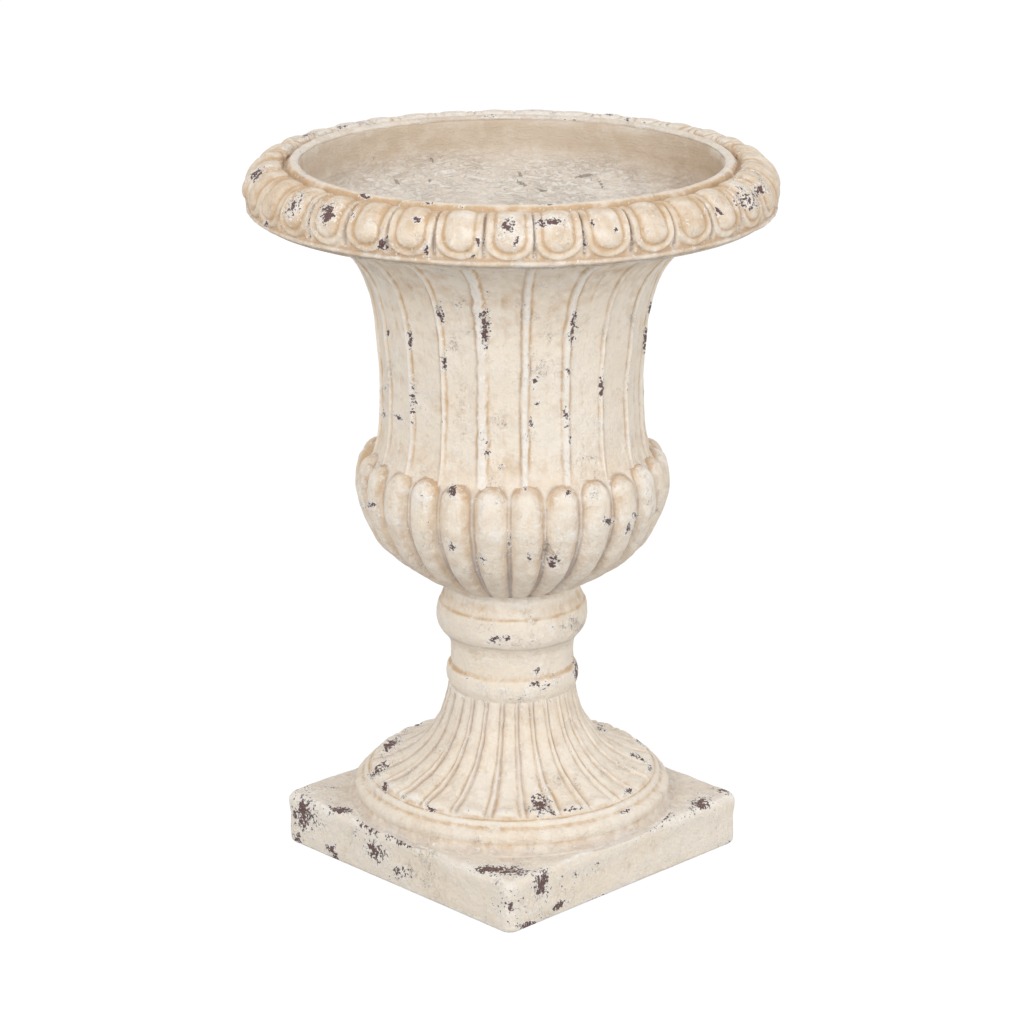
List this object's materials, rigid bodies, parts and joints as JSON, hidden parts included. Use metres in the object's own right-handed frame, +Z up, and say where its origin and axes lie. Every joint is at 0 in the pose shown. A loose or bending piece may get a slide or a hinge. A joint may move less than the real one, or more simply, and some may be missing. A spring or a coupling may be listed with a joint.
{
  "type": "urn vase",
  "caption": "Footed garden urn with a fluted bell bowl, an egg and dart rim, a gadrooned belly, a lobed trumpet foot and a square plinth.",
  "frame": {"origin": "middle of the plinth's underside, on the ground", "axes": "+Z up along the axis of the urn; the sides of the square plinth lie along X and Y; the picture looks at the plinth corner between +X and -Y"},
  "size_m": [0.4666, 0.4666, 0.64],
  "materials": {
    "bowl_paint": "worn ivory paint with an ochre wash, matt",
    "pedestal_paint": "worn ivory paint with an ochre wash, matt",
    "bedding": "matt grey-buff bedding compound",
    "rubber": "matt black",
    "zinc_steel": "zinc plated, satin"
  },
  "bodies": {
    "root": {"bowl": "bowl_paint", "pedestal": "pedestal_paint", "bedding_ring": "bedding", "tie_rod": "zinc_steel", "top_seal": "rubber", "top_washer": "zinc_steel", "top_nut": "zinc_steel", "bottom_washer": "zinc_steel", "bottom_nut": "zinc_steel"}
  },
  "joints": []
}
